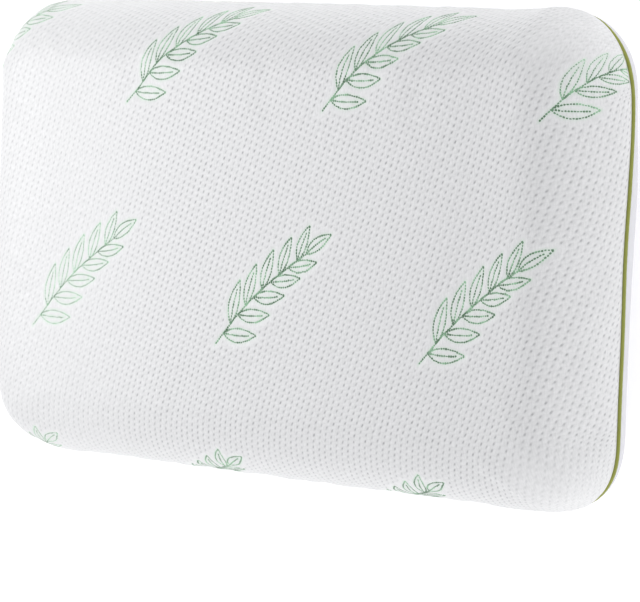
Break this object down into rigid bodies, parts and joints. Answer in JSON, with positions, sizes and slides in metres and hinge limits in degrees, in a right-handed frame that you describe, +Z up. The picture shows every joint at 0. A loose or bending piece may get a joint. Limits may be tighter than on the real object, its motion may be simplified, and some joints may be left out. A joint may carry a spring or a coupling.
{
  "type": "bed pillow",
  "caption": "Rectangular memory-foam bed pillow with half-round sides, a zipped dimpled knit cover with leaf sprigs, and green piping round its seam.",
  "frame": {"origin": "middle of the flat underside, on the surface that the pillow lies on", "axes": "+X along the pillow's length, +Y across its width towards the zip side, +Z up through its thickness towards the dimpled top"},
  "size_m": [0.702, 0.402, 0.12],
  "materials": {
    "dimpled_knit": "white dimpled jacquard knit with green leaf sprigs",
    "plain_knit": "plain pale grey knit",
    "piping_tape": "olive green bias tape",
    "cord_fill": "twisted cotton cord",
    "memory_foam": "open-cell moulded polyurethane foam",
    "liner_jersey": "thin white jersey",
    "sewing_thread": "polyester thread",
    "zip_tape": "woven zip tape",
    "zip_coil": "nylon coil",
    "zip_metal": "satin nickel",
    "label_satin": "blank satin ribbon"
  },
  "bodies": {
    "pillow": {"foam_core": "memory_foam", "liner_upper": "liner_jersey", "liner_lower": "liner_jersey", "liner_seam": "sewing_thread", "cover_top_panel": "dimpled_knit", "cover_bottom_panel": "plain_knit", "piping_sleeve": "piping_tape", "piping_cord": "cord_fill", "zip_tape_upper": "zip_tape", "zip_tape_lower": "zip_tape", "zip_coil_upper": "zip_coil", "zip_coil_lower": "zip_coil", "zip_bottom_stop": "zip_metal", "zip_top_stop_upper": "zip_metal", "zip_top_stop_lower": "zip_metal", "zip_topstitch_upper": "sewing_thread", "zip_topstitch_lower": "sewing_thread", "zip_bar_tack_start": "sewing_thread", "zip_bar_tack_end": "sewing_thread", "care_label": "label_satin"},
    "slider": {"zip_slider": "zip_metal"},
    "pull": {"zip_pull": "zip_metal"}
  },
  "joints": [
    {"name": "zip_slide", "type": "slide", "parent": "pillow", "child": "slider", "axis": [-1, 0, 0], "range_m": [0, 0.479]},
    {"name": "pull_hinge", "type": "hinge", "parent": "slider", "child": "pull", "pos_m": [0.2395, 0.1942, 0.02557], "axis": [0, 0.532, 0.8467], "range_deg": [0, 180]}
  ]
}
